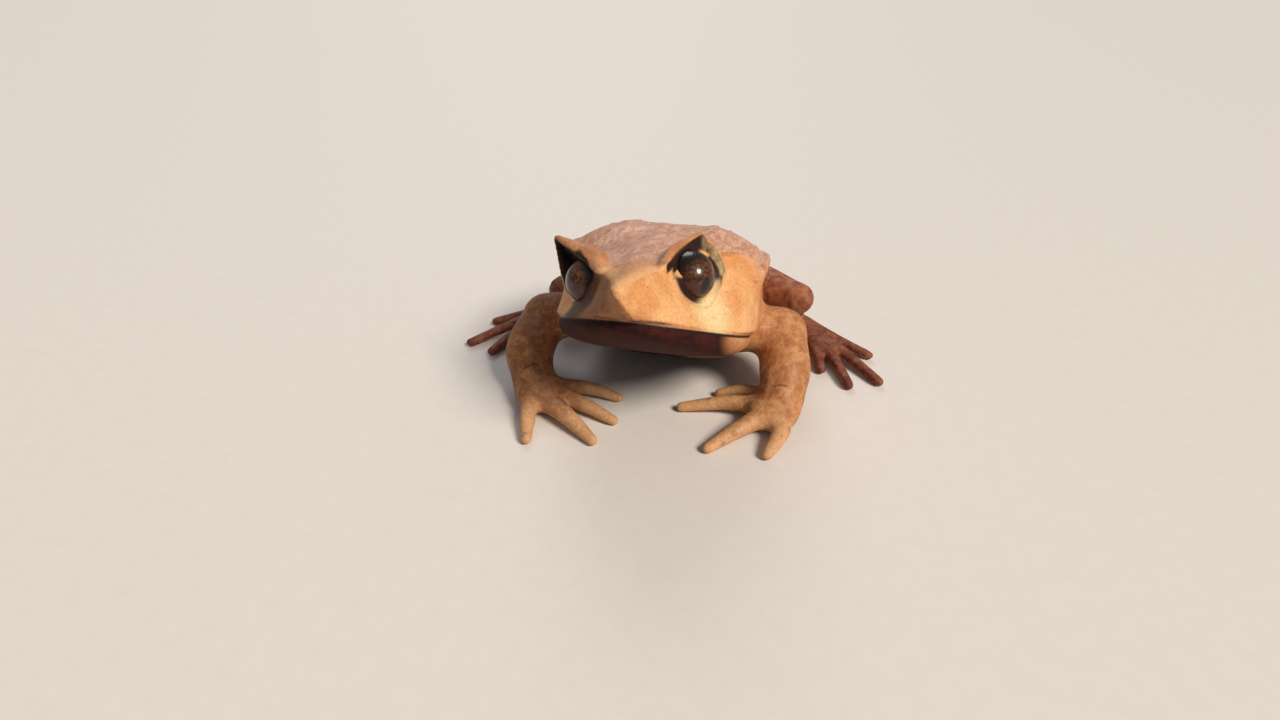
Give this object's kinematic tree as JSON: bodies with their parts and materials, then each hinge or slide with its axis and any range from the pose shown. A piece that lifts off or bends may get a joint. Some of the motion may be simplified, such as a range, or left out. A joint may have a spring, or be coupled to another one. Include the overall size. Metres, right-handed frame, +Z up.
{
  "type": "malayan horned frog model",
  "caption": "Life-size still model of a long-nosed horned frog sitting with raised head, spread hands and folded hind legs, for display on a flat surface.",
  "frame": {"origin": "middle of the flat under the belly, on the floor it sits on", "axes": "+Z up; the frog faces -Y; its left side is at +X"},
  "size_m": [0.095, 0.0851, 0.0385],
  "materials": {
    "skin": "satin, faintly moist",
    "eye": "wet gloss"
  },
  "bodies": {
    "root": {"eye_left": "eye", "eye_right": "eye", "finger_1_left": "skin", "finger_1_right": "skin", "finger_2_left": "skin", "finger_2_right": "skin", "finger_3_left": "skin", "finger_3_right": "skin", "finger_4_left": "skin", "finger_4_right": "skin", "foot_left": "skin", "foot_right": "skin", "forearm_left": "skin", "forearm_right": "skin", "hand_left": "skin", "hand_right": "skin", "head": "skin", "horn_left": "skin", "horn_right": "skin", "lower_jaw": "skin", "shank_left": "skin", "shank_right": "skin", "thigh_left": "skin", "thigh_right": "skin", "toe_1_left": "skin", "toe_1_right": "skin", "toe_2_left": "skin", "toe_2_right": "skin", "toe_3_left": "skin", "toe_3_right": "skin", "toe_4_left": "skin", "toe_4_right": "skin", "toe_5_left": "skin", "toe_5_right": "skin", "trunk": "skin", "upper_arm_left": "skin", "upper_arm_right": "skin"}
  },
  "joints": []
}
